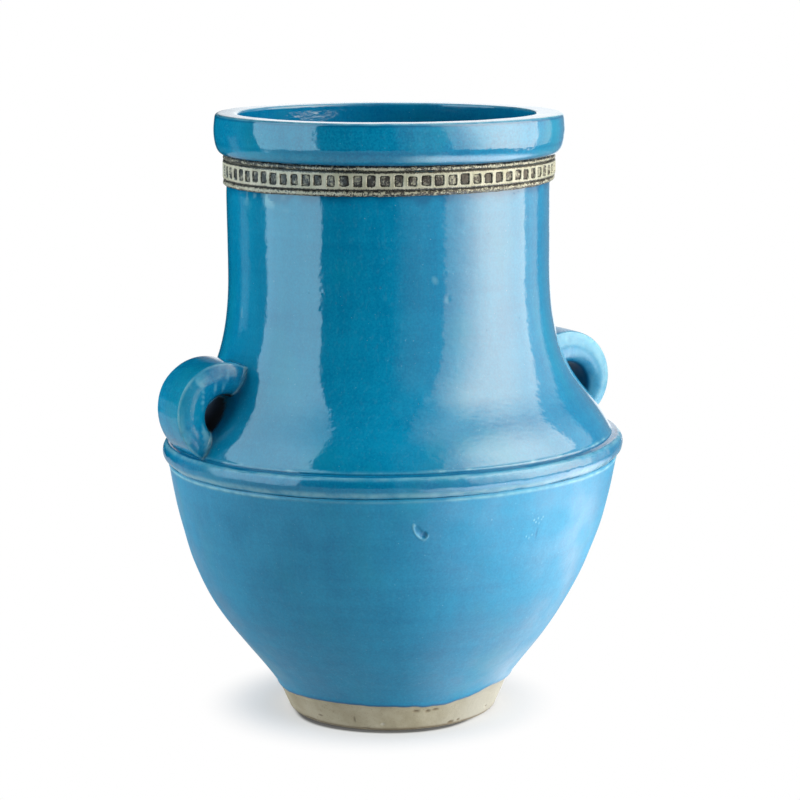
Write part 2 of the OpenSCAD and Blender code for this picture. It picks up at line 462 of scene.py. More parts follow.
def glaze(name, ior, roughness, ripple_mm, mottle):
    """Turquoise glaze, deeper where it pools and paler where it is thin, with bare clay where it stops,
    painted paler on its lit right side. Painted shade darkens grooves and the ears' roots and lies dark and
    matt deep in the handles; painted highlights pale the lip, the hem and the ears' roots."""
    r = Recipe(name, GLAZE_DEEP, ior)
    blotch = r.grain(26, 4)
    broad = r.plus(r.grain(110, 3), blotch)
    fine = r.plus(r.grain(6, 3, (1, 1, 12)), r.grain(5, 2, (16, 16, 1)))
    shade = r.plus(broad, r.times(fine, 0.7))
    shade = r.plus(shade, r.ramp(r.grain(1.3, 2), 0.25, 0.75, -0.3, 0.3))
    half = MOTTLE_REACH / mottle
    r.coat(r.ramp(shade, MOTTLE_MIDDLE - half, MOTTLE_MIDDLE + half), GLAZE_PALE)
    r.coat(r.ramp(r.grain(34, 3, (1, 1, 1.6)), 0.5, 0.72, 0, 0.5 * mottle), GLAZE_TEAL)
    r.coat(r.ramp(r.grain(2.0, 3, (1, 1, 2.2)), 0.5, 0.75, 0, 0.035), GLAZE_THIN)
    r.coat(r.ramp(r.grain(1.7, 2), 0.71, 0.79, 0, 0.35), GLAZE_THIN)
    pit = r.ramp(r.grain(2.3, 2), 0.74, 0.81)
    r.coat(r.times(pit, 0.4), GLAZE_POOL)
    r.coat(r.mark("pool"), GLAZE_POOL)
    patchy = r.ramp(r.grain(9, 3), 0.3, 0.65, 0.35, 1.0)
    r.coat(r.times(r.mark("thin"), patchy), GLAZE_THIN)
    bare, dull = r.mark("bare"), r.mark("dull")
    # Bare clay where the glaze stops, painted paler on its lit right side as painted light
    r.coat(bare, r.blend(r.mark("fresh"), clay_colour(r), CLAY_FRESH))
    # Painted shade, dark and matt, deep in the ear holes and behind the left one
    r.coat(dull, GLAZE_CRUST)
    r.bump(r.grain(11, 2, (1, 1, 0.8)), ripple_mm)
    r.bump(r.grain(2.6, 2, (1.6, 1.6, 1)), 0.07)
    r.bump(pit, -0.1)
    gloss = r.ramp(blotch, 0.3, 0.7, roughness * 0.8, roughness * 1.25)
    return r.finish(r.most(gloss, r.times(r.plus(bare, dull), MATT)))


# Glazes: name, refraction, roughness, depth of the ripple in mm, strength of the mottle
GLAZES = [
    ("turquoise_glaze", 1.55, 0.07, 0.15, 0.6),
    ("turquoise_satin_glaze", 1.47, 0.4, 0.25, 0.6),
    ("turquoise_rolled_glaze", 1.55, 0.17, 0.3, 0.8),
    ("turquoise_mottled_glaze", 1.55, 0.08, 0.18, 1.1),
    ("turquoise_soft_glaze", 1.55, 0.3, 0.15, 0.8),
    ("turquoise_streaky_glaze", 1.42, 0.11, 0.2, 1.1),
]


def bare_clay():
    """Unglazed clay of the foot, with dull sandy skin."""
    r = Recipe("bare_clay")
    r.colour = clay_colour(r)
    # Paler at the fresh chip, and painted light on the lit right side
    r.coat(r.mark("fresh"), CLAY_FRESH)
    # Browner in the pits, a painted contact shadow along the lower edge, and darker on the left
    r.coat(r.mark("stain"), CLAY_STAIN)
    r.bump(r.grain(3, 4), 0.2)
    r.bump(r.grain(0.7, 3), 0.08)
    return r.finish(r.ramp(r.grain(5, 3), 0.3, 0.7, 0.72, 0.92))


def cream_slip():
    """Yellowish slip of the stamped strip, soiled near its cells and edges."""
    r = Recipe("cream_slip", CREAM_MAIN)
    r.coat(r.ramp(r.grain(9, 4), 0.35, 0.68), CREAM_PALE)
    r.coat(r.ramp(r.grain(2.2, 4), 0.55, 0.75, 0, 0.6), CREAM_STAIN)
    worn = r.plus(r.mark("soot"), r.ramp(r.grain(0.8, 3), 0.3, 0.7, -0.35, 0.35))
    r.coat(r.ramp(worn, 0.35, 0.75), SOOT_DARK)
    r.bump(r.grain(1.6, 3), 0.12)
    return r.finish(r.ramp(r.grain(4, 3), 0.3, 0.7, 0.32, 0.5))


def cord_wash():
    """Cream cord under a dark wash that gathers in its hollows and is rubbed off its crown."""
    r = Recipe("cord_wash", CREAM_MAIN)
    r.coat(r.ramp(r.grain(5, 4), 0.35, 0.68), CREAM_PALE)
    speckle = r.ramp(r.grain(0.95, 3), 0.3, 0.7, -1.0, 1.0)
    speckle = r.plus(speckle, r.ramp(r.grain(4, 2), 0.3, 0.7, -0.3, 0.3))
    dirty = r.ramp(r.plus(r.mark("soot"), speckle), 0.4, 0.62)
    dark = r.blend(r.ramp(r.grain(0.8, 2), 0.45, 0.7, 0, 0.6), SOOT_DARK, SOOT_GREY)
    r.coat(dirty, r.blend(r.ramp(r.grain(1.5, 2), 0.54, 0.6, 0, 0.95), dark, CREAM_MAIN))
    r.bump(r.grain(1.2, 3), 0.3)
    return r.finish(r.ramp(r.grain(3, 2), 0.3, 0.7, 0.35, 0.6))


def dark_slip():
    """Blackish fill of the cells, stippled with grey."""
    r = Recipe("dark_slip", SOOT_DARK)
    each = r.ramp(r.grain(7, 1), 0.35, 0.65, -0.14, 0.1)
    r.coat(r.ramp(r.plus(r.grain(1.0, 3), each), 0.44, 0.6), SOOT_GREY)
    r.coat(r.ramp(r.plus(r.grain(1.2, 4), each), 0.54, 0.66, 0, 0.75), CREAM_MAIN)
    r.bump(r.grain(0.9, 3), 0.35)
    return r.finish(r.ramp(r.grain(2, 2), 0.3, 0.7, 0.4, 0.65))


# Turned pieces


def foot_side(level):
    """Radius of the foot's sloping side."""
    return FOOT_BASE_R + (FOOT_TOP_R - FOOT_BASE_R) * level / SEAT_Z


# Unevenness as pairs of depth and cell, in mm: of cut clay, of the thrown and glazed wall, and inside it
CLAY_SKIN = (0.22, 21), (0.12, 6.5), (0.06, 2.4)
THROWN = (0.2, 58), (0.1, 23), (0.03, (70, 70, 5.5))
THROWN_INSIDE = (0.35, (60, 60, 7)), (0.3, 30)


def spot(theta, level, radius, centre, middle, half_w, half_h, lean=0.0):
    """1 at the middle of an oval spot on the wall and 0 outside it; lean tips it over."""
    across = np.radians(arc_gap(theta, centre)) * radius + lean * (level - middle)
    return np.clip(1 - (across / half_w) ** 2 - ((level - middle) / half_h) ** 2, 0, 1)


# Pits, scratches and chips of the foot: theta, level, half width, half height, depth
FOOT_PITS = [
    (-20, 7.2, 0.6, 3.2, 0.5), (-35, 15.4, 0.8, 0.8, 0.6), (-41, 6.2, 2.2, 0.8, 0.25),
    (12, 14.0, 2.3, 1.5, 0.5), (15.8, 16.2, 0.7, 2.0, 0.6), (18, 13.2, 1.9, 1.4, 0.6),
    (22, 13.8, 2.6, 1.3, 0.4), (33, 2.6, 3.0, 1.3, 0.5), (38, 3.0, 1.6, 1.0, 0.5),
    (60, 6.0, 1.4, 0.8, 0.5), (-78, 10.0, 2.6, 1.2, 0.35), (105, 8.5, 0.7, 3.6, 0.45),
    (150, 12.0, 2.4, 1.4, 0.4), (-140, 7.0, 2.0, 1.0, 0.4),
]
FRESH_CHIP = (-5.1, 4.8, 1.3, 1.2, 0.5)
FOOT_WEAR = 1.1
# How brown the clay is in the pits, how dark it is painted along the foot's lower edge as a contact shadow,
# and how much darker it is on its left
DIRT, LEFT_DIRT = 0.95, 0.22
# How much paler the clay is painted round the urn: painted light on its lit right side
PALE_THETA = [-180, 12, 54, 120, 170, 180]
PALE_CLAY = [0.0, 0.0, 1.0, 1.0, 0.0, 0.0]
# Level of the glaze's lower edge round the urn, from the bowl's seat
GLAZE_EDGE_THETA = [-180, -120, -70, -37, -18, -6, 10, 16, 26, 38, 53, 72, 110, 150, 180]
GLAZE_EDGE = [0.0, -1.2, -1.8, 0.0, 0.6, 0.0, -0.8, -1.5, -1.2, 1.2, 4.6, 4.0, 1.4, 0.4, 0.0]
# The bowl's skirt goes this far down, over a rebate in the foot
SKIRT_Z = SEAT_Z - 3.0
REBATE = 0.7
SKIRT_IN_R = foot_side(SKIRT_Z) - REBATE
# Where the foot's outline stops, short of the axis
AXIS_R = 2


def pale_side(theta, points):
    """How much paler than elsewhere the clay is painted on its lit right side, from 0 to 1: painted light."""
    return eased(theta, PALE_THETA, PALE_CLAY) * (0.8 + 0.2 * noise(points, 9))


def foot_line():
    """The foot's outline, from the middle of its underside to the middle of its raised floor."""
    ring_r, hollow_r = FOOT_BASE_R - FOOT_EDGE, FOOT_HOLLOW_R + FOOT_HOLLOW_H
    under = [(AXIS_R, FOOT_HOLLOW_H), (FOOT_HOLLOW_R, FOOT_HOLLOW_H), (hollow_r, 0), (ring_r, 0)]
    turn = np.radians([30, 60, 90])
    edge = [ring_r, 0] + FOOT_EDGE * np.stack([np.sin(turn), 1 - np.cos(turn)], 1)
    side_top = SKIRT_Z + 0.3
    side = [(foot_side(FOOT_EDGE), FOOT_EDGE), (foot_side(side_top), side_top)]
    floor_r = FOOT_TOP_R - SEAT_W
    top = [(SKIRT_IN_R, SKIRT_Z + 0.5), (FOOT_TOP_R - REBATE, SEAT_Z),
           (floor_r, SEAT_Z), (floor_r, FLOOR_Z), (AXIS_R, FLOOR_Z)]
    return np.vstack([finely(under, 6), edge, finely(side, 0.6), finely(top, 5)])


def add_foot(material):
    theta = angles(0.6)
    line = foot_line()
    radius, level = np.hsplit(line, 2)
    shown = step(level, 0.0, 0.5) * (radius > FOOT_BASE_R - 2) * (level < SKIRT_Z + 0.4)
    points = round_points(theta, radius, level)
    worn = step(level, 5, 0) * np.clip(noise(points, 5) - 0.25, 0, 1)
    *pits, chip = (spot(theta, level, FOOT_BASE_R, *pit[:4]) for pit in FOOT_PITS + [FRESH_CHIP])
    relief = layers(points, *CLAY_SKIN) - FOOT_WEAR * worn - FRESH_CHIP[4] * chip
    relief = relief - sum(pit[4] * mark for pit, mark in zip(FOOT_PITS, pits))
    # Paler at the fresh chip, and painted light on the lit right side
    fresh = np.maximum(0.8 * chip**0.5, pale_side(theta, points))
    # Browner in the pits, a painted contact shadow along the lower edge, and darker on the left
    stain = DIRT * (sum(pits) + step(level, 2.9, 0.8)) + LEFT_DIRT * step(theta, -32, -52)
    points = push(points, line, relief * shown)
    points[..., 2] = np.maximum(points[..., 2], 0)
    add_turned("urn_foot", "foot", "bare_clay", material, points, poles=True,
               stain=np.clip(stain, 0, 1) * shown, fresh=fresh * shown)


# Nail dent in the bowl: theta, level, half width, half height, lean
NAIL_DENT = (6.6, RIDGE_Z - 21.0, 2.4, 4.3, 0.55)
NAIL_DEPTH = 1.1
# Round pocket at the dent's lower end: right of and below its middle, and its radius
NAIL_POCKET = (2.7, 2.0, 2.5)
# Pale specks in the bowl's glaze: theta, depth below the ridge, size
BOWL_SPECKS = [
    (37.6, 21.2, 0.8), (38.3, 22.8, 0.7), (38.9, 20.4, 0.8), (39.4, 23.8, 0.85), (40.1, 21.6, 0.7),
    (40.5, 20.2, 0.9), (35.9, 30.9, 0.7), (36.8, 32.2, 0.8), (37.7, 30.5, 0.65),
]
# Dark streak under them: theta, level, half width, half height
BOWL_STREAK = (39.2, RIDGE_Z - 30.0, 1.2, 4.0)
# Angles over which the mesh is finer, for the dent and the specks
BOWL_FINE = (3.5, 10.5, 0.2), (35.0, 41.5, 0.2)
# How open the groove over the bowl's lip is round the urn, and how strong the painted highlight along the lip
LIP_THETA = [-180, -60, -33, -26, 8, 18, 60, 180]
LIP_GAP = [0.3, 0.15, 0.1, 0.25, 0.2, 0.1, 0.15, 0.3]
LIP_PALE = [0.5, 0.75, 0.75, 0.25, 0.25, 0.7, 0.85, 0.5]
LIP_Z = RIDGE_Z - 1.9


def nail_dent(theta, level):
    """How deep the nail dent is, from 0 to 1, and how pale its lower left brim is."""
    centre, middle, half_w, half_h, lean = NAIL_DENT
    right, below, pocket_r = NAIL_POCKET
    across = np.radians(arc_gap(theta, centre)) * BELLY_R
    up = level - middle
    slit = np.hypot((across + lean * up) / half_w, up / half_h)
    pocket = np.hypot(across - right, up + below) / pocket_r
    away = np.minimum(slit, pocket)
    deep = np.clip(1 - away**2, 0, 1) ** 0.7 * (0.25 + 0.75 * step(across - up, -1.5, 4.5))
    lower_left = step(np.minimum(across + 0.6 * up, up + 0.3 * across), 0.6, -0.4)
    return deep, hump(away, 1.1, 0.22) * lower_left


def glaze_edge(theta):
    """Level of the glaze's ragged lower edge."""
    around = round_points(theta, FOOT_TOP_R, SEAT_Z)
    return SEAT_Z + eased(theta, GLAZE_EDGE_THETA, GLAZE_EDGE) + layers(around, (0.45, 11), (0.3, 3.2))


def glaze_coat(above):
    """Thickness of the glaze in mm at a height above its lower edge, where it forms a roll."""
    coat = 0.55 * (1 - np.exp(-above / 0.4)) * (1 - 0.9 * step(above, 8, 50))
    return np.where(above > 0, coat + 0.4 * hump(above, 1.5, 1.3), 0)


def bowl_line():
    """The bowl's outline, up its outside and down its inside, and which rows are outside and inside."""
    skirt = finely([(foot_side(SKIRT_Z), SKIRT_Z), (FOOT_TOP_R, SEAT_Z)], 0.4)
    stops = stretches(SEAT_Z + 0.4, (SEAT_Z + 9, 0.4), (RIDGE_Z - 36, 2.4), (RIDGE_Z - 14, 0.5),
                      (RIDGE_Z - 4.5, 2.2), (RIDGE_Z - 0.2, 0.35))
    wall = np.stack([radius_on(BOWL_CURVE, stops), stops], 1)
    outer = np.vstack([skirt, wall, (BELLY_R, RIDGE_Z)])
    seam = [(RIDGE_SEAT_R, RIDGE_Z), (RIDGE_SEAT_R, JOINT_Z), (LAP_R, JOINT_Z), (LAP_R, LAP_Z)]
    share = np.linspace(1, 0, 40)
    inner = bend(BOWL_CURVE, share)
    inner = inner + ways(inner) * (BASE_WALL + (WALL - BASE_WALL) * share)[:, None]
    inner = np.vstack([[inner[0, 0], LAP_Z], inner, [inner[-1, 0], SEAT_Z]])
    seat = [(FOOT_TOP_R - REBATE, SEAT_Z), (SKIRT_IN_R, SKIRT_Z)]
    line = np.vstack([outer, seam, inner, seat])
    is_inner = ~first_rows(len(outer) + len(seam), line) & (line[:, 1:] > FLOOR_Z)
    return line, first_rows(len(outer), line), is_inner


def add_bowl(material):
    theta = angles(0.9, *BOWL_FINE)
    line, is_outer, is_inner = bowl_line()
    radius, level = np.hsplit(line, 2)
    points = round_points(theta, radius, level)
    above = np.where(is_outer, level - glaze_edge(theta), 50)
    dent, brim = nail_dent(theta, level)
    specks = sum(spot(theta, level, BELLY_R, at, RIDGE_Z - drop, r, r) for at, drop, r in BOWL_SPECKS)
    streak = spot(theta, level, BELLY_R, *BOWL_STREAK)
    lip = hump(level, LIP_Z, 0.9)
    gap = eased(theta, LIP_THETA, LIP_GAP)
    skin = layers(points, *THROWN) * step(level, SEAT_Z + 3, SEAT_Z + 40)
    relief = np.where(above > 0, skin, layers(points, *CLAY_SKIN) * step(level, SKIRT_Z, SKIRT_Z + 1))
    relief = relief + glaze_coat(above) - NAIL_DEPTH * dent + 0.25 * brim + 0.2 * specks - 0.1 * streak
    relief = relief + 0.3 * lip - gap * step(level, LIP_Z + 0.4, RIDGE_Z) ** 2
    points = push(points, line, is_outer * relief + is_inner * layers(points, *THROWN_INSIDE))
    bare = is_outer * step(above, 0.15, -0.1)
    # Deeper glaze at its rolled edge, in the nail dent and along the streak; over the groove under the ridge,
    # painted shade
    pool = hump(above, 0.8, 1.2) * (above > 0) + 0.5 * dent**1.5 + 0.5 * streak
    pool = pool + 0.7 * gap * step(level, RIDGE_Z - 0.8, RIDGE_Z - 0.2)
    # Pale thin glaze on the dent's brim and the specks; along the lip, a painted highlight
    thin = 0.6 * brim + specks + eased(theta, LIP_THETA, LIP_PALE) * lip
    # The bare clay under the glaze edge is painted paler on its lit right side
    add_turned("urn_bowl", "lower_bowl", "turquoise_glaze", material, points,
               pool=is_outer * np.clip(pool, 0, 1), thin=is_outer * np.clip(thin, 0, 1),
               bare=bare, fresh=bare * pale_side(theta, points))


# Outline of the ridge from its lower to its upper edge: out from the belly, up from the ridge's underside,
# how thin the glaze lies there, and how dark it is painted with shade, on its outer face and in the grooves
# above and below it
RIDGE_LINE = [
    (-2.8, 0.0, 0.0, 0.0), (-0.3, 0.0, 0.0, 0.1), (0.2, 0.3, 0.0, 0.0), (0.75, 0.9, 0.25, 0.0),
    (1.4, 1.6, 0.5, 0.0), (2.1, 2.5, 0.5, 0.0), (2.75, 3.5, 0.25, 0.0), (3.25, 4.7, 0.0, 0.15),
    (3.5, 6.3, 0.0, 0.25), (3.45, 7.9, 0.0, 0.3), (3.2, 9.4, 0.0, 0.25), (2.8, 10.7, 0.05, 0.1),
    (2.2, 11.8, 0.35, 0.0), (1.4, 12.6, 0.5, 0.0), (0.7, 12.95, 0.1, 0.3), (0.0, 13.05, 0.0, 0.6),
    (-0.9, 13.1, 0.0, 0.6), (-2.8, 13.5, 0.0, 0.3),
]


def add_ridge(material):
    theta = angles(0.6)
    line = smooth_line(RIDGE_LINE, 0.55) + [BELLY_R, RIDGE_Z, 0, 0]
    radius, level, thin, pool = np.hsplit(line, 4)
    height = level - RIDGE_Z
    points = round_points(theta, radius, level)
    shown = step(radius, BELLY_R - 1.5, BELLY_R + 0.5)
    points = push(points, line[:, :2], shown * layers(points, (0.3, 26), (0.22, 9), (0.1, 3.5)))
    sway = layers(points, (0.45, 34), (0.3, 13))
    points[..., 2] += sway * shown * step(height, 1, 4) * step(height, 13, 10)
    add_turned("urn_ridge", "shoulder_ridge", "turquoise_glaze", material, points,
               thin=np.clip(thin, 0, 1), pool=np.clip(pool, 0, 1))


# Small dents in the neck: theta, level, half width, half height, lean, depth
NECK_DENTS = [
    (15.8, NECK_Z + 1.6, 2.4, 3.2, 0.3, 0.06),
    (20.3, NECK_Z - 10.2, 2.2, 2.8, 0.0, 0.12),
    (-62, NECK_Z - 22.5, 1.6, 4.0, 0.2, 0.2),
    (140, NECK_Z - 34.0, 2.4, 1.6, 0.0, 0.4),
]
NECK_FINE = (13.5, 22.5, 0.4)
# Levels of the first rows above the ridge, where the glaze has a hem
HEM_STOPS = SHOULDER_Z + np.array([0, 0.3, 0.6, 1.0, 1.4, 1.9])
# The mouth lies a little left of the rim's middle, in mm, and the walls inside are darker
MOUTH_SHIFT = -1.6
MOUTH_POOL = 0.55


def neck_line():
    """The neck's outline, up its outside and down its inside, and which rows are outside and inside."""
    stops = stretches(SHOULDER_Z + 3, (NECK_Z - 14, 2.0), (NECK_Z + 7, 0.9),
                      (BAND_Z - 4, 2.4), (BAND_Z + 1, 0.8))
    stops = np.concatenate([HEM_STOPS, stops, [RIM_Z]])
    outer = np.stack([radius_on(SHOULDER_CURVE, stops), stops], 1)
    tongue = TONGUE + [(MOUTH_R, RIM_Z)]
    straight = finely([(MOUTH_R, RIM_Z - 4), (MOUTH_R, NECK_Z + 4)], 5)
    inner = bend(SHOULDER_CURVE, np.linspace(1, 0, 34))
    inner = inner + ways(inner) * WALL
    lap = [(inner[-1, 0], LAP_Z), (LAP_R, LAP_Z), (LAP_R, JOINT_Z),
           (RIDGE_SEAT_R, JOINT_Z), (RIDGE_SEAT_R, SHOULDER_Z)]
    line = np.vstack([outer, tongue, straight, inner, lap])
    is_inner = first_rows(len(line) - len(lap), line) & ~first_rows(len(outer) + len(tongue) + 1, line)
    return line, first_rows(len(outer) - 1, line), is_inner


def add_neck(material):
    theta = angles(0.9, NECK_FINE)
    line, is_outer, is_inner = neck_line()
    radius, level = np.hsplit(line, 2)
    points = round_points(theta, radius, level)
    hem = hump(level, SHOULDER_Z + 0.9, 0.9)
    relief = is_outer * (layers(points, *THROWN) * step(level, SHOULDER_Z, SHOULDER_Z + 8) + 0.5 * hem)
    relief = relief + is_inner * layers(points, *THROWN_INSIDE)
    # A painted highlight along the hem, patchy with flecks
    flecks = step(noise(points, 5.5), 0.0, 0.6)
    thin = is_outer * (0.2 + 0.6 * flecks) * hump(level, SHOULDER_Z + 1.2, 0.6)
    for *place, depth in NECK_DENTS:
        dent = is_outer * spot(theta, level, NECK_R, *place)
        relief = relief - depth * dent
        thin = thin + 0.3 * dent
    runs = is_outer * step(level, BAND_Z - 11, BAND_Z - 5) * step(theta, -66, -56) * step(theta, -24, -34)
    relief = relief + 0.12 * runs * noise(points, 4.5)
    thin = thin + 0.45 * runs * step(noise(points, 4), 0.1, 0.5)
    # Darker in ragged drips just under the band, painted shade in the groove above the ridge, and darker all
    # over inside
    drip = noise(round_points(theta, NECK_R, level * 0.35), 7)
    pool = step(level + 3.2 * drip, BAND_Z - 6, BAND_Z - 0.5)
    pool = pool + step(level, SHOULDER_Z + 0.8, SHOULDER_Z + 0.2)
    pool = 0.6 * is_outer * pool + MOUTH_POOL * is_inner
    points = push(points, line, relief)
    # Painted shade on the neck wall behind the left ear's hole, dark and matt
    hole_z = EAR_TOP_Z - EAR_R - HOLE_DROP
    from_hole = np.hypot(points[..., 1] / (EAR_W / 2 - 2), (level - hole_z) / (HOLE_R - 2))
    dull = is_outer * step(from_hole, 1.04, 0.92) * (points[..., 0] < 0)
    add_turned("urn_neck", "upper_wall", "turquoise_glaze", material, points,
               pool=np.clip(pool, 0, 1), thin=np.clip(thin, 0, 1), dull=dull)


# Outline of the rim from the band to the mouth: radius against the rim's reach, level above its underside,
# and how thin or how deep the glaze lies there
RIM_LINE = [
    (-5.8, 0.2, 0.0, 1.0), (-4.7, 0.7, 0.0, 0.6), (-3.1, 2.0, 0.0, 0.1), (-1.9, 3.9, 0.1, 0.0),
    (-1.15, 6.0, 0.05, 0.0), (-0.8, 7.6, 0.0, 0.25), (-0.4, 9.6, 0.0, 0.0), (-0.05, 13.0, 0.0, 0.0),
    (0.0, 16.5, 0.0, 0.0), (-0.35, 20.5, 0.0, 0.0), (-0.65, 22.8, 0.0, 0.1), (-0.85, 23.7, 0.0, 0.7),
    (-1.15, 24.4, 0.2, 0.3), (-1.8, 25.0, 0.8, 0.0), (-2.8, 25.25, 0.2, 0.0), (-6.0, 25.3, 0.0, 0.0),
    (-13.6, 25.27, 0.1, 0.0), (-15.4, 25.15, 0.5, 0.0), (-16.3, 24.8, 0.4, 0.0), (-16.68, 24.3, 0.2, 0.2),
    (-16.8, 23.4, 0.0, 0.4), (-16.8, 21.0, 0.0, 0.5),
]


def add_rim(material):
    theta = angles(0.9)
    outer = smooth_line(RIM_LINE, 0.9) + [RIM_R, RIM_Z, 0, 0]
    hidden = np.vstack([finely([(MOUTH_R, RIM_Z + 17), (MOUTH_R, RIM_Z)], 4), TONGUE[::-1]])
    hidden = np.hstack([hidden, np.tile([0, MOUTH_POOL], (len(hidden), 1))])
    line = np.vstack([outer, hidden])
    radius, level, thin, pool = np.hsplit(line, 4)
    points = round_points(theta, radius, level)
    relief = layers(points, (0.16, 44), (0.1, 15))
    points = push(points, line[:, :2], relief * first_rows(len(outer), line))
    inward = step(radius, RIM_R - 8, RIM_R - 13) * step(level, RIM_Z + 1, RIM_Z + 23)
    points[..., :2] += MOUTH_SHIFT * inward[..., None] * RIGHT_WAY
    add_turned("urn_rim", "rim_collar", "turquoise_glaze", material, points,
               thin=np.clip(thin, 0, 1), pool=np.clip(pool, 0, 1))


# Band

CELL_CORNER = 0.9
COLUMNS_PER_CELL = 18
# The strip's rounded edge: radius against the band's, distance from the strip's end
STRIP_EDGE = [(-0.5, 0.0), (-0.1, 0.5), (0.0, 1.0)]
# A pillow of slip is a rounded square with this many sides, in rings from its floor to its crown: share of
# the cell's size, height. It keeps clear of the cell's sides by a gap.
PILLOW_SIDES = 28
PILLOW_SQUARE = 4.0
PILLOW_RINGS = [(1.0, 0.0), (1.0, FILL_DEPTH - 0.35), (0.86, FILL_DEPTH - 0.06), (0.55, FILL_DEPTH),
                (0.25, FILL_DEPTH - 0.04)]
PILLOW_MIDDLE_H = FILL_DEPTH - 0.05
PILLOW_GAP = 0.12


def cell_shapes():
    """For each stamped cell: theta, level, half width, half height and lean."""
    k = np.arange(CELL_COUNT)
    seed = np.stack([k, 0 * k, 0 * k], 1)
    drawn = [lattice(seed + [0, i, 3]) for i in range(5)]
    theta = (k + 0.5) * 360 / CELL_COUNT + 0.16 * drawn[0] - math.degrees(FRONT)
    level = (STRIP_Z + UPPER_CORD_Z) / 2 + 0.22 * drawn[1]
    return theta, level, CELL_W / 2 + 0.22 * drawn[2], CELL_H / 2 + 0.22 * drawn[3], 0.05 * drawn[4]


def cell_gap(k, theta, level, points):
    """Distance in mm from points of the strip to the ragged outline of cell k, below 0 within it."""
    at, middle, half_w, half_h, lean = (values[k] for values in cell_shapes())
    across = np.radians(arc_gap(theta, at)) * BAND_R + lean * (level - middle)
    up = level - middle - lean * across
    qx, qz = np.abs(across) - half_w + CELL_CORNER, np.abs(up) - half_h + CELL_CORNER
    gap = np.hypot(np.maximum(qx, 0), np.maximum(qz, 0)) + np.minimum(np.maximum(qx, qz), 0) - CELL_CORNER
    return gap + layers(points, (0.22, 1.5), (0.12, 0.7))


def add_strip(material):
    columns = np.arange(CELL_COUNT * COLUMNS_PER_CELL)
    theta = columns * 360 / len(columns) - math.degrees(FRONT)
    outer = [(BAND_R + out, STRIP_Z + up) for out, up in STRIP_EDGE]
    outer = finely(outer + [(BAND_R + out, UPPER_CORD_Z - down) for out, down in STRIP_EDGE[::-1]], 0.5)
    line = np.vstack([outer, [(NECK_R, UPPER_CORD_Z), (NECK_R, STRIP_Z)]])
    is_outer = first_rows(len(outer), line)
    radius, level = np.hsplit(line, 2)
    points = round_points(theta, radius, level)
    gap = cell_gap(columns // COLUMNS_PER_CELL, theta, level, points)
    relief = layers(points, (0.1, 9), (0.07, 2.2)) + 0.16 * hump(gap, 0.55, 0.45)
    relief = relief - CELL_DEPTH * step(gap, 0.3, -0.4)
    points = push(points, line, relief * is_outer)
    edges = step(np.abs(level - (STRIP_Z + UPPER_CORD_Z) / 2), 4.1, 4.9)
    soot = np.clip(step(gap, 0.38, -0.05) + 0.9 * edges, 0, 1) * is_outer
    add_turned("urn_strip", "band_strip", "cream_slip", material, points, soot=soot)


def pillow():
    """Points of a pillow for a cell of half width and half height 1, as across, up and out, and its faces."""
    turn = np.arange(PILLOW_SIDES) * 2 * math.pi / PILLOW_SIDES
    ring = np.stack([np.cos(turn), np.sin(turn)], 1)
    ring = ring * (np.abs(ring) ** PILLOW_SQUARE).sum(axis=1, keepdims=True) ** (-1 / PILLOW_SQUARE)
    points = [np.hstack([share * ring, np.full((PILLOW_SIDES, 1), height)]) for share, height in PILLOW_RINGS]
    points = np.vstack(points + [(0, 0, 0), (0, 0, PILLOW_MIDDLE_H)])
    size = len(PILLOW_RINGS), PILLOW_SIDES
    return points, ring_faces(*size, closed=False) + pole_faces(*size)


def add_inlays(material):
    """Pillow of dark slip in the floor of each cell."""
    shape, pattern = pillow()
    floor_r = BAND_R - CELL_DEPTH
    points, faces = [], []
    for at, middle, half_w, half_h, lean in zip(*cell_shapes()):
        across, up, out = (shape * [half_w - PILLOW_GAP, half_h - PILLOW_GAP, 1]).T
        theta = at + np.degrees((across - lean * up) / floor_r)
        level = middle + up + lean * across
        rough = layers(round_points(theta, floor_r + out, level), (0.18, 1.3), (0.1, 0.6))
        faces += [[i + len(points) * len(shape) for i in face] for face in pattern]
        points.append(round_points(theta, floor_r + out + rough * (out > 0.1), level))
    add_piece("urn_cells", "cell_inlays", "dark_slip", material, np.vstack(points), faces)


# How dark the wash lies on each cord round the urn
UPPER_WASH_THETA = [-180, -100, -60, -32, -24, -10, -8, 3.5, 6, 22, 30, 46, 60, 120, 180]
UPPER_WASH = [0.5, 1.2, 1.5, 1.4, 0.6, 0.35, -0.3, -0.3, 0.75, 0.75, 0.5, 0.45, 0.6, 0.7, 0.5]
LOWER_WASH_THETA = [-180, -90, -50, -8, 0, 36, 44, 100, 180]
LOWER_WASH = [0.4, 0.2, 0.0, 0.05, 1.1, 1.05, 0.6, 0.6, 0.4]
# How far the cord's crown starts from the neck, how deep its back is let in and how far it is pressed flat
CORD_OUT, CORD_IN, CORD_FLAT = 0.5, 0.4, 0.15


def add_cord(name, node, material, low, high, wash_theta, wash):
    """Half-round cord of clay pressed on the neck, uneven along its length."""
    theta = angles(0.5)
    middle, half = (low + high) / 2, (high - low) / 2
    swing = np.radians(np.linspace(-90, 90, 13))
    start_r = NECK_R + CORD_OUT
    crown = np.stack([start_r + (BAND_R - start_r) * np.cos(swing), middle + half * np.sin(swing)], 1)
    line = np.vstack([crown, [(NECK_R - CORD_IN, high), (NECK_R - CORD_IN, low)]])
    is_outer = first_rows(len(crown), line)
    radius, level = np.hsplit(line, 2)
    points = round_points(theta, radius, level)
    wash_here = eased(theta, wash_theta, wash)
    relief = layers(points, (0.28, 7), (0.22, 2.6), (0.12, 1.2)) * np.where(wash_here < 0, 0.35, 1.0)
    points = push(points, line, (relief - CORD_FLAT) * is_outer)
    soot = wash_here + 1.6 * step(np.abs(level - middle) / half, 0.3, 0.7)
    add_turned(name, node, "cord_wash", material, points, soot=soot * is_outer)


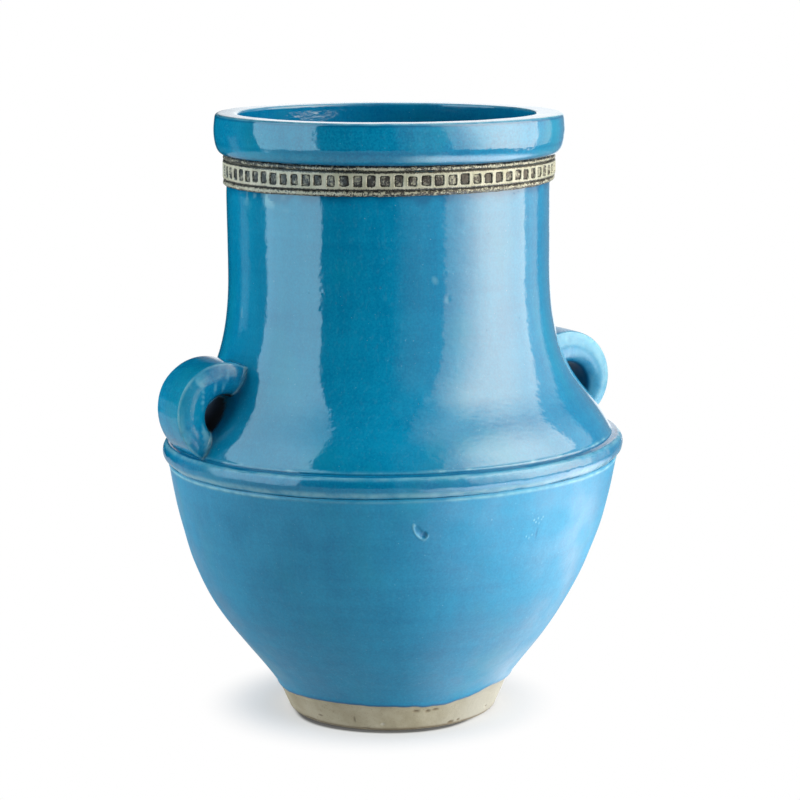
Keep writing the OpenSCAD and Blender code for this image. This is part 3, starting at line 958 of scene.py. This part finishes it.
# Ear handles

# Angles in degrees over which the strap is swept, and the number of its sections
EAR_SWEEP = -74, 132
EAR_SECTIONS = 160
# Radius of the strap's outer edges, and width and share of the thickness of its rounded inner ones
EAR_EDGE = 1.2
EAR_ROUND_W, EAR_ROUND_H = 7.5, 0.62
# How far the strap's ends are let into the shoulder
EAR_SUNK = 3.0


def ear_section(thick):
    """Outline of a strap's section: sideways, outward from the hole and how sharp the edge is."""
    half, edge, round_w = EAR_W / 2, EAR_EDGE, EAR_ROUND_W
    round_h = EAR_ROUND_H * thick
    face = [(y, thick + 0.35 * (1 - (y / half) ** 2), 0.0) for y in np.linspace(0, half - edge - 0.5, 7)]
    arris = [(half - edge + edge * math.sin(a), thick - edge + edge * math.cos(a), sharp)
             for a, sharp in zip(np.radians([0, 22, 45, 68, 90]), (0.3, 1.0, 1.0, 1.0, 0.3))]
    side = [(half + 0.3, thick - edge - 0.6, 0.0), (half + 0.9, (thick - edge + round_h) / 2, 0.0)]
    roll = [(half - round_w + (round_w + 1.2 * math.cos(a)) * math.cos(a), round_h * (1 - math.sin(a)), 0.0)
            for a in np.radians(np.linspace(0, 90, 10))]
    inner = [(y, 0.0, 0.0) for y in np.linspace(half - round_w, 0, 5)[1:]]
    near = np.array(face + arris + side + roll + inner)
    far = near[1:-1][::-1] * [-1, 1, 1]
    return np.vstack([near, far])


def ear_loop(outer_r, raised, hole_r, hole_in, hole_drop):
    """Points of an ear on the +X side, in rows of one section each, with three marks: how sharp the edge is,
    how deep in the hole the point lies, and how far on a flank."""
    middle_x, middle_z = EAR_X - EAR_R, EAR_TOP_Z - EAR_R + raised
    hole = np.array([-hole_in, -hole_drop])
    rows = []
    for a in np.radians(np.linspace(*EAR_SWEEP, EAR_SECTIONS)):
        way = np.array([math.cos(a), math.sin(a)])
        along = hole @ way
        inner = along + math.sqrt(hole_r**2 - (hole @ hole - along**2))
        thick = outer_r - inner
        sideways, out, sharp = ear_section(thick).T
        beside = EAR_W / 2 - np.abs(sideways)
        deep = step(out, 1.6, 0.3) * step(beside, 1.5, 6)
        flank = step(beside, 6, 2.5) * step(thick - out, 0.6, 1.6)
        x, z = middle_x + (inner + out) * way[0], middle_z + (inner + out) * way[1]
        rows.append(np.stack([x, sideways, z, sharp, deep, flank], 1))
    rows = np.array(rows)
    return rows[..., :3], rows[..., 3], rows[..., 4], rows[..., 5]


def add_ear(name, node, material, side, rough, crust, pale, **loop):
    """Loop of clay, swept round its own middle and let into the shoulder at both ends; side is 1 on the right
    and -1 on the left. It is more or less rough, dark with painted shade in its hole and pale on its flanks."""
    points, sharp, deep, flank = ear_loop(**loop)
    outward = points - points.mean(axis=1, keepdims=True)
    outward = outward / np.linalg.norm(outward, axis=-1, keepdims=True)
    clear = np.hypot(points[..., 0], points[..., 1]) - radius_on(SHOULDER_CURVE, points[..., 2])
    flare = 1.3 * step(clear, 2.6, -0.3) ** 2
    uneven = layers(points, (0.3, 17), (0.14, 6)) + 0.05 * flank * noise(points, (2.8, 2.8, 10))
    points = points + outward * (flare + rough * uneven)[..., None]
    body = radius_on(SHOULDER_CURVE, points[..., 2])
    radial = np.hypot(points[..., 0], points[..., 1])
    points[..., :2] *= (np.maximum(radial, body - EAR_SUNK) / radial)[..., None]
    runs = step(noise(points, (2.8, 2.8, 12)), 0.1, 0.5)
    # Painted shade where the strap meets the shoulder, and a painted highlight just beside it along the root
    pool = 0.7 * step(clear, 0.9, 0.1) + 0.2 * rough * flank * (1 - runs)
    thin = 0.5 * sharp + 0.7 * hump(clear, 1.0, 0.4) + flank * (0.45 * rough * runs + pale)
    points[..., 0] *= side
    rows, count = points.shape[:2]
    caps = [list(range(count))[::-1], list(range((rows - 1) * count, rows * count))]
    faces = ring_faces(rows, count, closed=False) + caps
    if side > 0:
        faces = [face[::-1] for face in faces]
    # The mark deep in the hole is painted shade, dark and matt
    add_piece(name, node, "turquoise_glaze", material, points.reshape(-1, 3), faces,
              thin=np.clip(thin, 0, 1), pool=np.clip(pool, 0, 1), dull=crust * deep)


# Stage


def way_to(azimuth):
    """Level unit vector away from the urn's axis."""
    turn = FRONT + math.radians(azimuth)
    return Vector((math.cos(turn), math.sin(turn), 0))


def add_camera():
    data = bpy.data.cameras.new("camera")
    data.lens = CAMERA_LENS_MM
    data.sensor_width = CAMERA_SENSOR_MM
    data.clip_end = CAMERA_END
    camera = add_object("camera", data)
    aim = Matrix.Rotation(math.pi / 2 - CAMERA_PITCH, 4, "X") @ Matrix.Rotation(CAMERA_ROLL, 4, "Z")
    camera.matrix_world = Matrix.Rotation(VIEW_TURN, 4, "Z") @ Matrix.Translation(CAMERA_PLACE) @ aim
    bpy.context.scene.camera = camera


# Heights between which the softboxes grow dim, their lower end and their distance from the urn
DIM_Z = 1.25, 2.4
SOFTBOX_LOW = -0.4
SOFTBOX_AWAY = 1.5
# Distance of the panels from the urn, and the level that they face
PANEL_AWAY = 1.6
AIM_Z = 0.19
WARM = (1.0, 0.83, 0.6)
COOL = (0.63, 0.89, 1.0)


def add_lamp(name, width, height, radiance):
    data = bpy.data.lights.new(name, "AREA")
    data.shape = "RECTANGLE"
    data.size = width
    data.size_y = height
    data.energy = radiance * math.pi * width * height
    lamp = add_object(name, data)
    lamp.visible_camera = False
    return lamp


def add_softbox(name, azimuth, left, right, high, radiance, colour, profile, dim, skew):
    """Upright lamp, from left to right of the line to the urn, that only shows in the glaze. Its profile
    lists stretches across it, with the share of light gained or lost in each. Higher up, the gains start
    further left by skew, and the top is dimmer."""
    lamp = add_lamp(name, right - left, high - SOFTBOX_LOW, radiance)
    lamp.data.color = colour
    lamp.data.use_nodes = True
    out, side = way_to(azimuth), way_to(azimuth + 90)
    n = Nodes(lamp.data.node_tree)
    place = n.add("ShaderNodeNewGeometry")["Position"]
    across = n.vectors("DOT_PRODUCT", place, side)
    height = n.add("ShaderNodeSeparateXYZ", place)["Z"]
    leaning = n.plus(n.times(height, skew), across)
    level = 0.0
    for start, end, gain in profile:
        level = n.plus(level, n.ramp(leaning if gain > 0 else across, start, end, 0.0, gain))
    level = n.times(level, n.ramp(height, *DIM_Z, 1.0, dim))
    n.fill(n.tree.nodes["Emission"], {"Strength": level})
    lamp.location = out * SOFTBOX_AWAY + side * (left + right) / 2 + Vector((0, 0, (high + SOFTBOX_LOW) / 2))
    lamp.rotation_euler = (math.pi / 2, 0, FRONT + math.radians(azimuth) + math.pi / 2)
    lamp.visible_diffuse = False


def add_panel(name, azimuth, height, size, radiance):
    """Plain square lamp that faces the middle of the urn and isn't mirrored in the glaze."""
    lamp = add_lamp(name, size, size, radiance)
    lamp.location = way_to(azimuth) * PANEL_AWAY + Vector((0, 0, height))
    lamp.rotation_euler = (0, math.atan2(PANEL_AWAY, height - AIM_Z), FRONT + math.radians(azimuth))
    lamp.visible_glossy = False


def add_lamps():
    add_softbox("left_softbox", azimuth=-70.5, left=-1.3, right=0.66, high=3.2, radiance=3.5, colour=COOL,
                dim=0.5, skew=0.25, profile=[(-0.60, -0.56, 0.95), (-0.3, 0.6, 0.22)])
    add_softbox("right_softbox", azimuth=60.0, left=-2.7, right=4.6, high=4.2, radiance=8.4, colour=WARM,
                dim=0.25, skew=0.25,
                profile=[(-2.5, -1.1, 0.06), (-0.57, -0.51, 0.2), (-0.5, 0.42, 0.74), (0.4, 1.5, -0.4),
                         (1.72, 1.88, -0.46), (3.4, 4.6, -0.14)])
    add_softbox("left_strip", azimuth=-120.0, left=-0.22, right=0.2, high=0.24, radiance=0.35, colour=COOL,
                dim=1.0, skew=0.0, profile=[(-0.2, -0.1, 1.0), (0.1, 0.2, -1.0)])
    add_panel("left_fill", azimuth=-100.0, height=0.7, size=2.0, radiance=3.7)
    add_panel("right_fill", azimuth=54.0, height=0.7, size=1.2, radiance=7.4)
    add_panel("back_fill", azimuth=100.0, height=1.3, size=1.2, radiance=3.9)


FLOOR_R = 1.05
FLOOR_PALE = 0.75
# Near the urn the camera sees the floor's shading with a share of plain white, and further off only white
FLOOR_OWN = 0.3
SHADE_SHIFT = 0.008
SHADE_R = 0.066, 0.118
# A contact shadow is painted on the floor where the foot stands, reaching further out in front, between the
# lamps
CONTACT_R = 0.0655, 0.0695
CONTACT_DARK = 0.25
CONTACT_AZIMUTH = -10.0
CONTACT_FACING = 0.35, 0.95
CONTACT_SHIFT = 0.003, -0.004
# The floor's own glow as other surfaces see it: dim, but brighter on the right lamp's side, the more so
# further out, up to where the lamp's light ends
GLOW_AZIMUTH = 68.0
GLOW_FACING = 0.4, 0.97
GLOW_AWAY, GLOW_RISE = (0.1, 0.42), (1.6, 5.6)
GLOW_END = 0.5, 0.8
GLOW_LOW = 0.5
GLOW_BASE, GLOW_SHARE = 0.7, 0.03


def floor_light(n, path, unit, away):
    """Light of the floor: white to the camera, its glow to glossy surfaces, a more even one to dull ones."""
    rise = n.times(n.ramp(away, *GLOW_AWAY, *GLOW_RISE), n.ramp(away, *GLOW_END, 1.0, 0.0))
    turned = n.ramp(n.vectors("DOT_PRODUCT", unit, way_to(GLOW_AZIMUTH)), *GLOW_FACING)
    glow = n.plus(n.times(turned, rise), GLOW_LOW)
    even = n.plus(n.times(glow, GLOW_SHARE), GLOW_BASE)
    others = n.plus(n.times(path["Is Glossy Ray"], glow), n.times(path["Is Diffuse Ray"], even))
    return n.plus(path["Is Camera Ray"], others)


def floor_material():
    r = Recipe("floor")
    path = r.add("ShaderNodeLightPath")
    unit, away = r.vectors("NORMALIZE", r.place), r.vectors("LENGTH", r.place)
    ahead = r.vectors("DOT_PRODUCT", unit, way_to(CONTACT_AZIMUTH))
    near = r.plus(away, r.ramp(ahead, *CONTACT_FACING, *CONTACT_SHIFT))
    # Painted contact shadow in the floor's colour round the foot
    pale = r.ramp(near, *CONTACT_R, FLOOR_PALE * CONTACT_DARK, FLOOR_PALE)
    r.fill(r.shader, {"Base Color": pale, "Roughness": 1.0, "Specular IOR Level": 0.0})
    white = r.add("ShaderNodeEmission", (1, 1, 1, 1), floor_light(r, path, unit, away))["Emission"]
    shifted = r.vectors("ADD", r.place, (*(SHADE_SHIFT * RIGHT_WAY), 0))
    shade = r.ramp(r.vectors("LENGTH", shifted), *SHADE_R, FLOOR_OWN, 1.0)
    # Plain white fades out at the foot, so that the painted contact shadow shows
    shade = r.times(shade, r.ramp(near, *CONTACT_R))
    share = r.most(r.maths("SUBTRACT", 1.0, path["Is Camera Ray"]), shade)
    mix = r.add("ShaderNodeMixShader", share, r.shader.outputs["BSDF"], white)["Shader"]
    r.fill(r.tree.nodes["Material Output"], {"Surface": mix})
    return r.material


def add_floor():
    """Pale round floor that keeps the shadow near the urn and turns to plain white further off."""
    mesh = bpy.data.meshes.new("floor")
    turns = np.radians(np.arange(0, 360, 5))
    corners = [(FLOOR_R * math.cos(a), FLOOR_R * math.sin(a), 0) for a in turns]
    mesh.from_pydata(corners, [], [list(range(len(corners)))])
    mesh.materials.append(floor_material())
    floor = add_object("floor", mesh)


# Stretches of the backdrop: azimuth, half its angle, softness of its ends and light
BACKDROP = [(146.0, 42.0, 4.0, 0.3), (174.0, 10.0, 1.5, 1.0)]
FILL = 0.02


def add_world():
    """White to the camera; glossy surfaces see it only where a backdrop would stand, behind the urn."""
    world = bpy.data.worlds.new("world")
    bpy.context.scene.world = world
    world.use_nodes = True
    n = Nodes(world.node_tree)
    way = n.add("ShaderNodeTexCoord")["Generated"]
    unit = n.vectors("NORMALIZE", n.vectors("MULTIPLY", way, (1, 1, 0)))
    behind = 0.0
    for azimuth, half, soft_end, light in BACKDROP:
        low, high = (math.cos(math.radians(half + d)) for d in (soft_end, -soft_end))
        facing = n.vectors("DOT_PRODUCT", unit, way_to(azimuth))
        behind = n.plus(behind, n.ramp(facing, low, high, 0.0, light))
    path = n.add("ShaderNodeLightPath")
    shiny = n.times(n.plus(path["Is Glossy Ray"], path["Is Transmission Ray"]), behind)
    fill = n.times(path["Is Diffuse Ray"], FILL)
    level = n.most(path["Is Camera Ray"], n.most(shiny, fill))
    n.fill(n.tree.nodes["Background"], {"Color": (1, 1, 1, 1), "Strength": level})


add_camera()
add_world()
add_floor()
add_lamps()
gloss, satin, rolled, mottled, soft, streaky = (glaze(*row) for row in GLAZES)
wash = cord_wash()
add_foot(bare_clay())
add_bowl(satin)
add_ridge(rolled)
add_neck(gloss)
add_rim(mottled)
add_strip(cream_slip())
add_inlays(dark_slip())
add_cord("urn_lower_cord", "band_lower_cord", wash, BAND_Z, STRIP_Z, LOWER_WASH_THETA, LOWER_WASH)
add_cord("urn_upper_cord", "band_upper_cord", wash, UPPER_CORD_Z, RIM_Z, UPPER_WASH_THETA, UPPER_WASH)
add_ear("urn_ear_left", "left_handle", streaky, side=-1, rough=1.0, crust=1.0, pale=0.0,
        outer_r=EAR_R + 0.9, raised=0.8, hole_r=HOLE_R - 2.0, hole_in=2.3, hole_drop=HOLE_DROP - 1.6)
add_ear("urn_ear_right", "right_handle", soft, side=1, rough=0.35, crust=0.65, pale=0.3,
        outer_r=EAR_R, raised=0.0, hole_r=HOLE_R - 1.2, hole_in=-2.6, hole_drop=HOLE_DROP + 0.6)

bpy.context.scene.view_settings.view_transform = "Standard"
